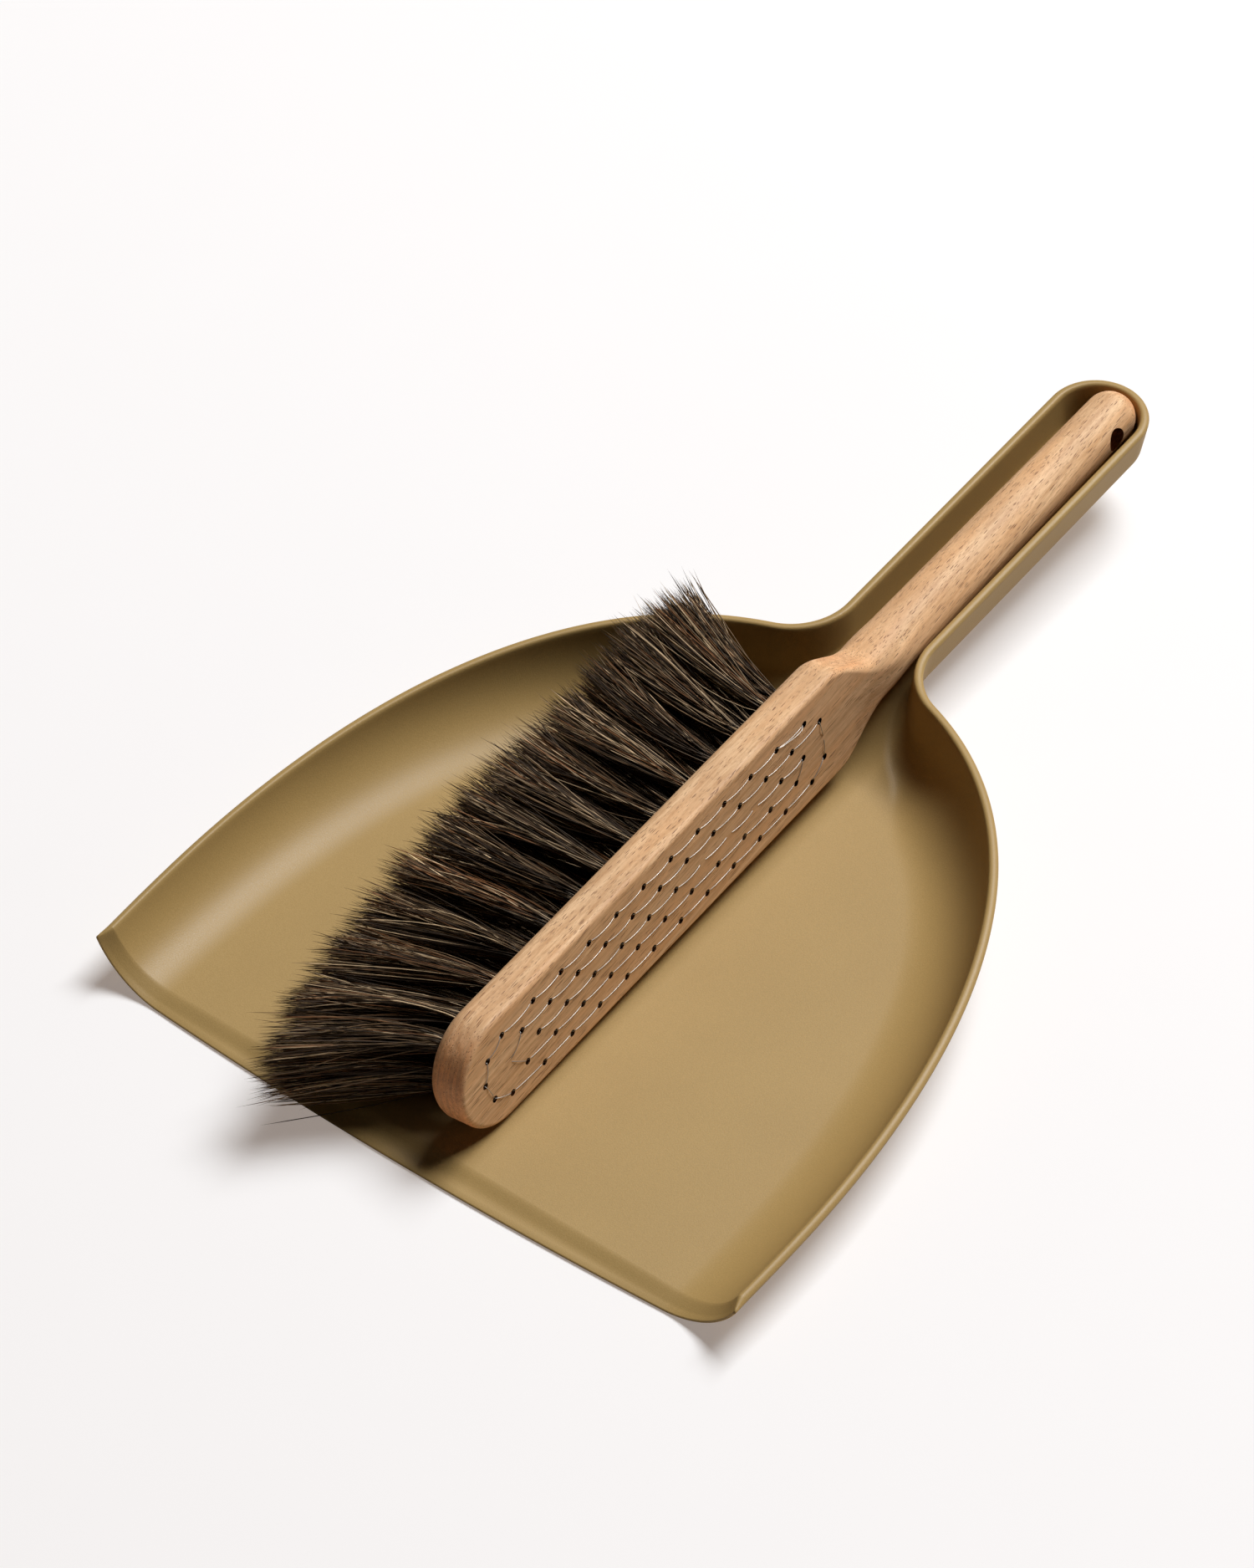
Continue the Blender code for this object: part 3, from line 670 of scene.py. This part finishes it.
def make_block(mat):
    """Drills the block and puts it in its place."""
    block = make_object("beech_block", block_mesh(), mat)
    holes = bpy.data.objects.new("holes", hole_cutter())
    bpy.context.scene.collection.objects.link(holes)
    cut = block.modifiers.new("Holes", "BOOLEAN")
    cut.object = holes
    bpy.context.view_layer.update()
    drilled = bpy.data.meshes.new_from_object(block.evaluated_get(bpy.context.evaluated_depsgraph_get()))
    drilled.shade_smooth()
    drilled.set_sharp_from_angle(angle=math.radians(32))
    drilled.transform(brush_matrix())
    block.modifiers.clear()
    block.data = drilled
    bpy.data.objects.remove(holes)
    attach(block, "brush")
    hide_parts("brush_block")


# ---------------------------------------------------------------- wire

def wire_route(places):
    """One route through every hole. Each stitch lifts a little off the face and bows a little sideways."""
    chance = np.random.default_rng(SEED)
    points = []
    for i, place in enumerate(places):
        into = (place - places[i - 1]).normalized() if i else (places[1] - place).normalized()
        out = (places[i + 1] - place).normalized() if i < len(places) - 1 else into
        enter = place - into * WIRE_LEG
        leave = place + out * WIRE_LEG
        points += [(enter.x, enter.y, -WIRE_DIP * 0.5), (enter.x, enter.y, -WIRE_DIP),
                   (leave.x, leave.y, -WIRE_DIP), (leave.x, leave.y, -WIRE_DIP * 0.5)]
        if i == len(places) - 1:
            break
        target = places[i + 1] - out * WIRE_LEG
        side = Vector((-out.y, out.x))
        bow = chance.uniform(0.00005, 0.00045)
        for t in np.linspace(0.02, 0.98, STITCH_POINTS):
            spot = leave.lerp(target, t) + side * bow * math.sin(math.pi * t)
            points.append((spot.x, spot.y, mix(-WIRE_SUNK, WIRE_LIFT, math.sin(math.pi * t) ** 0.3)))
    return points


def loose_end(start, finish):
    """The wire's free end, which comes back along the first stitch in a flat twist."""
    side = (finish - start).normalized().orthogonal()
    points = []
    for t in np.linspace(0.0, 1.0, 14):
        spot = start.lerp(finish, t) + side * 0.0011 * math.sin(math.pi * t) * math.cos(2.2 * t)
        lift = min(1.0, math.sin(math.pi * t) * 3.0)
        points.append((spot.x, spot.y, mix(-0.0010, WIRE_LIFT + 0.0003, lift)))
    return points


def make_wire(mat):
    """The drawing wire as a round tube along its route, and its loose end."""
    places = [Vector(place) for place in tuft_places()]
    curve = bpy.data.curves.new("steel_wire", "CURVE")
    curve.dimensions = "3D"
    curve.bevel_depth = WIRE_RADIUS
    curve.bevel_resolution = 2
    curve.use_fill_caps = True
    for route in (wire_route(places), loose_end(places[0], places[1])):
        spline = curve.splines.new("POLY")
        spline.points.add(len(route) - 1)
        for point, spot in zip(spline.points, route):
            point.co = (*spot, 1.0)
    shaped = bpy.data.objects.new("wire_curve", curve)
    bpy.context.scene.collection.objects.link(shaped)
    bpy.context.view_layer.update()
    mesh = bpy.data.meshes.new_from_object(shaped.evaluated_get(bpy.context.evaluated_depsgraph_get()))
    mesh.name = "steel_wire"
    mesh.shade_smooth()
    mesh.materials.clear()
    bpy.data.objects.remove(shaped)
    mesh.transform(brush_matrix())
    wire = make_object("steel_wire", mesh, mat)
    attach(wire, "brush")
    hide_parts("drawing_wire")


# ---------------------------------------------------------------- bristles

def tuft_line(x, y, depth):
    """A tuft's middle at a depth, 0 at the block's back and 1 at the tips. The tufts fan out."""
    ease = depth ** FAN_EASE
    to_x = mix(TIP_ROW_TOP, TIP_ROW_BOTTOM, (x + 2 * ROW_STEP) / (4 * ROW_STEP))
    reach = (y - FAN_MIDDLE_Y) / FAN_REACH
    fan = FAN_FRONT if reach < 0 else FAN_BACK
    to_y = y + fan * reach * abs(reach) ** FAN_POWER
    return mix(x, to_x, ease), mix(y, to_y, ease)


def hair_paths(place, chance):
    """The hairs of one tuft in the brush's frame, as an array (hair, step, xyz).

    A tuft splits into locks, and the hairs of a lock keep together towards their tips.
    """
    x, y = place
    count = STRANDS
    # Lengths: the hair is a little longer towards the handle, and a few hairs stray.
    depth = np.linspace(0.0, 1.0, STRAND_STEPS + 1)[None, :]
    long = HAIR * (0.975 + 0.085 * float(smooth((y + 0.02) / 0.04)))
    length = long * np.clip(chance.normal(1.0, 0.022, (count, 1)), 0.88, 1.05)
    stray = chance.random((count, 1)) < 0.04
    length = np.where(stray, long * chance.uniform(0.75, 1.10, (count, 1)), length)
    # Locks, and where each hair starts in the tuft.
    angle = chance.uniform(0, 2 * math.pi, (LOCKS, 1))
    radius = np.sqrt((np.arange(LOCKS)[:, None] + chance.random((LOCKS, 1))) / LOCKS)
    lock = chance.integers(0, LOCKS, count)
    loose = 0.30 + 0.70 * chance.random((count, 1)) ** 2
    own_angle = chance.uniform(0, 2 * math.pi, (count, 1))
    own_radius = np.sqrt(chance.random((count, 1)))
    root_x = ROOT_SPREAD * own_radius * np.cos(own_angle)
    root_y = ROOT_SPREAD * own_radius * np.sin(own_angle)
    lock_x = (LOCK_SPREAD[0] * radius * np.cos(angle))[lock]
    lock_y = (LOCK_SPREAD[1] * radius * np.sin(angle))[lock]
    tip_x = lock_x + loose * 0.0030 * chance.normal(0.0, 1.0, (count, 1))
    tip_y = lock_y + loose * 0.0034 * chance.normal(0.0, 1.0, (count, 1))
    spread = depth ** LOCK_SPREAD_EASE
    centre = np.array([tuft_line(x, y, d) for d in depth[0]])
    px = centre[None, :, 0] + mix(root_x, tip_x, spread)
    py = centre[None, :, 1] + mix(root_y, tip_y, spread)
    # Bends of the whole lock, and of each hair by itself.
    wild = np.where(stray, 3.0, 1.0)
    lock_bend = chance.normal(0.0, 0.0011, (2, LOCKS, 1))[:, lock]
    bend = chance.normal(0.0, 0.0007, (2, count, 1)) * wild
    lean = chance.normal(0.0, 0.0006, (2, count, 1)) * wild
    px = px + lean[0] * depth ** 2 + (bend[0] + lock_bend[0]) * np.sin(math.pi * depth)
    py = py + lean[1] * depth ** 2 + (bend[1] + lock_bend[1]) * np.sin(math.pi * depth)
    # A tuft that leans out reaches less far down.
    lean_out = centre[-1, 1] - y
    trim = FRONT_TRIM * max(-lean_out, 0.0) / FAN_FRONT
    length = length * math.sqrt(1.0 - (lean_out / HAIR) ** 2) * (1.0 - trim)
    pz = -BLOCK_THICK + HAIR_SUNK - (length + HAIR_SUNK) * depth
    return np.stack([px, py, pz], axis=2)


def lift_clear(points, pan_tree, chance):
    """Raises hairs that would pass through the pan, so that they lie on it or over its rim."""
    flat = points.reshape(-1, 3)
    ground = np.empty(len(flat))
    down = Vector((0, 0, -1))
    for i, (x, y, _) in enumerate(flat):
        hit = pan_tree.ray_cast(Vector((x, y, 0.2)), down)[0]
        ground[i] = hit.z if hit is not None else 0.0
    clear = 0.0005 + chance.uniform(0.0, 0.0035, (len(points), 1)) * np.linspace(0, 1, points.shape[1])
    lift = np.maximum(ground.reshape(points.shape[:2]) + clear - points[:, :, 2], 0.0)
    for _ in range(3):
        lift[:, :-1] = np.maximum(lift[:, :-1], 0.55 * lift[:, 1:])
    lift[:, 0] = 0.0
    points[:, :, 2] += lift
    points[:, :, 2] -= 0.8 * np.maximum(points[:, :, 2] - HAIR_CEILING, 0.0)
    return points


def hair_colours(count, chance):
    """Mostly near black brown, some mid brown and ginger, and a few pale hairs."""
    palette = np.array([(0.026, 0.015, 0.009), (0.122, 0.074, 0.038),
                        (0.180, 0.079, 0.032), (0.500, 0.365, 0.222)])
    kind = chance.choice(4, size=count, p=(0.40, 0.34, 0.10, 0.16))
    return palette[kind] * chance.uniform(0.65, 1.35, (count, 1))


def hair_points(paths, chance):
    """The corners of three-sided hairs along the paths, and a point at each tip."""
    count, steps = paths.shape[:2]
    rings = steps - 1
    forward = np.gradient(paths, axis=1)
    forward /= np.linalg.norm(forward, axis=2, keepdims=True)
    upward = np.array([0.0, 0.31, 0.95])    # a direction that no hair runs along
    side = np.cross(forward, upward)
    side /= np.linalg.norm(side, axis=2, keepdims=True)
    other = np.cross(forward, side)
    depth = np.linspace(0, 1, steps)
    thick = chance.uniform(0.75, 1.35, (count, 1)) * mix(HAIR_ROOT_RADIUS, HAIR_TIP_RADIUS, depth)[None]
    phase = chance.uniform(0, 2 * math.pi, (count, 1))
    corners = []
    for k in range(3):
        angle = phase + 2 * math.pi * k / 3
        offset = side * np.cos(angle)[:, :, None] + other * np.sin(angle)[:, :, None]
        corners.append(paths + offset * thick[:, :, None])
    body = np.stack(corners, axis=2)[:, :rings]
    return np.concatenate([body.reshape(count, rings * 3, 3), paths[:, -1:, :]], axis=1).reshape(-1, 3)


def hair_faces(count, rings):
    """The quads along the hairs' sides, and the triangles at their roots and tips."""
    size = rings * 3 + 1
    quads = []
    for i in range(rings - 1):
        for k in range(3):
            a = i * 3 + k
            b = i * 3 + (k + 1) % 3
            quads.append((a, b, b + 3, a + 3))
    last = (rings - 1) * 3
    tris = [(0, 2, 1)] + [(last + k, last + (k + 1) % 3, size - 1) for k in range(3)]
    base = (np.arange(count) * size)[:, None, None]
    return (np.array(quads)[None] + base).reshape(-1, 4), (np.array(tris)[None] + base).reshape(-1, 3)


def hair_mesh(name, paths, colours, chance):
    """Closed hairs along the paths. Each point carries the colour of its hair, paler towards the tip."""
    count, steps = paths.shape[:2]
    rings = steps - 1
    verts = hair_points(paths, chance)
    quads, tris = hair_faces(count, rings)
    mesh = bpy.data.meshes.new(name)
    mesh.vertices.add(len(verts))
    mesh.vertices.foreach_set("co", verts.astype(np.float32).ravel())
    loops = np.concatenate([quads.ravel(), tris.ravel()])
    mesh.loops.add(len(loops))
    mesh.loops.foreach_set("vertex_index", loops.astype(np.int32))
    starts = np.concatenate([np.arange(len(quads)) * 4, len(quads) * 4 + np.arange(len(tris)) * 3])
    mesh.polygons.add(len(starts))
    mesh.polygons.foreach_set("loop_start", starts.astype(np.int32))
    mesh.update(calc_edges=True)
    mesh.validate()
    depth = np.linspace(0, 1, steps)
    shade = np.concatenate([np.repeat(mix(0.70, 1.35, depth[:rings]), 3), [1.4]])
    tint = colours[:, None, :] * shade[None, :, None]
    rgba = np.concatenate([tint, np.ones((count, len(shade), 1))], axis=2)
    layer = mesh.attributes.new("hair_colour", "FLOAT_COLOR", "POINT")
    layer.data.foreach_set("color", rgba.astype(np.float32).ravel())
    mesh.shade_smooth()
    return mesh


def make_bristles(mat, pan):
    """The hair, row by row. A row's piece stands for the CAD tufts of that row."""
    pan_tree = BVHTree.FromPolygons([pan.matrix_world @ v.co for v in pan.data.vertices],
                                    [tuple(p.vertices) for p in pan.data.polygons])
    rows = {"bristles_row_1": range(0, 11), "bristles_tip": range(11, 16), "bristles_row_5": range(16, 27),
            "bristles_neck": range(27, 30), "bristles_row_2": range(30, 41), "bristles_row_4": range(41, 53),
            "bristles_row_3": range(53, 64)}
    places = tuft_places()
    partners = {partner for _, partner in SHARED_TUFTS}
    matrix = np.array(brush_matrix())
    chance = np.random.default_rng(SEED)
    for name, members in rows.items():
        paths = np.concatenate([hair_paths(places[k], chance) for k in members])
        paths = paths @ matrix[:3, :3].T + matrix[:3, 3]
        paths = lift_clear(paths, pan_tree, chance)
        mesh = hair_mesh(name, paths, hair_colours(len(paths), chance), chance)
        row = make_object(name, mesh, mat)
        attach(row, "brush")
        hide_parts(*["tuft_%02d" % (k + 1) for k in members if k not in partners])


# ---------------------------------------------------------------- stage, light and camera

def make_stage():
    """White paper. Seen directly it partly glows by itself, a painted light that keeps its shadows pale and
    paints them warm. Light that it throws onto the other things comes from a darker, warmer colour, a
    painted dimming of that bounce light.
    """
    shader = Shader("white_paper")
    seen = shader.add("ShaderNodeLightPath").outputs["Is Camera Ray"]
    fibres = shader.noise(shader.coords(), 30.0)
    bright = shader.mixed(fibres, (0.895, 0.925, 0.955, 1), (0.905, 0.935, 0.965, 1))
    # Seen directly the paper is bluish, which offsets the warm painted glow where it is lit. For light that
    # it throws onto the other things it is a darker, warmer colour: painted dimming and warming of the
    # bounce light.
    shader.feed("Base Color", shader.mixed(seen, (0.70, 0.63, 0.56, 1), bright))
    shader.set(Roughness=0.9)
    # Painted light: a warm glow that the camera alone sees, which lifts the paper's shadows and paints them
    # warm.
    painted_glow = shader.add("ShaderNodeEmission", {"Color": (0.990, 0.840, 0.750, 1), "Strength": 1.0})
    blend = shader.add("ShaderNodeMixShader", {0: shader.math("MULTIPLY", seen, PAPER_PAINTED_GLOW),
                                               1: shader.surface.outputs["BSDF"], 2: painted_glow.outputs[0]})
    shader.tree.links.new(blend.outputs[0], shader.tree.nodes["Material Output"].inputs["Surface"])
    half = PAPER_HALF_SIZE
    corners = [(-half, -half, 0), (half, -half, 0), (half, half, 0), (-half, half, 0)]
    floor = make_object("floor", mesh_of("floor", corners, [(0, 1, 2, 3)]), shader.mat)
    floor.location.z = -0.0002


def area_light(name, place, target, size, power, colour=(1, 1, 1)):
    """A rectangular light at a place, turned to a target."""
    light = bpy.data.lights.new(name, "AREA")
    light.shape = "RECTANGLE"
    light.size, light.size_y = size
    light.energy = power
    light.color = colour
    obj = bpy.data.objects.new(name, light)
    bpy.context.scene.collection.objects.link(obj)
    obj.location = place
    obj.rotation_euler = (Vector(target) - Vector(place)).to_track_quat("-Z", "Y").to_euler()


def make_lights():
    """A large key light above the handle's end, a weak warm one on the right, and a faint sky."""
    world = bpy.data.worlds.new("studio")
    bpy.context.scene.world = world
    world.use_nodes = True
    sky = world.node_tree.nodes["Background"]
    sky.inputs["Color"].default_value = SKY_COLOUR
    sky.inputs["Strength"].default_value = SKY_STRENGTH
    area_light("key", KEY_PLACE, KEY_TARGET, KEY_SIZE, KEY_POWER)
    area_light("side", SIDE_PLACE, (0, 0, 0), SIDE_SIZE, SIDE_POWER, SIDE_COLOUR)
    bpy.context.scene.view_settings.view_transform = "Standard"


def make_camera():
    """The viewing angle, from the front right and well above, with a long lens."""
    right = Vector((math.cos(CAMERA_AZIMUTH), math.sin(CAMERA_AZIMUTH), 0))
    level = math.cos(CAMERA_ELEVATION)
    back = Vector((math.sin(CAMERA_AZIMUTH) * level, -math.cos(CAMERA_AZIMUTH) * level,
                   math.sin(CAMERA_ELEVATION)))
    up = back.cross(right)
    camera = bpy.data.cameras.new("camera")
    camera.lens = CAMERA_LENS
    camera.clip_end = 20
    obj = bpy.data.objects.new("camera", camera)
    bpy.context.scene.collection.objects.link(obj)
    turn = Matrix((right, up, back)).transposed().to_4x4()
    obj.matrix_world = Matrix.Translation(CAMERA_PLACE) @ turn
    bpy.context.scene.camera = obj


make_camera()
make_lights()
make_stage()
pan_shell = make_pan(plastic_material())
make_block(beech_material())
make_wire(steel_material())
make_bristles(horsehair_material(), pan_shell)
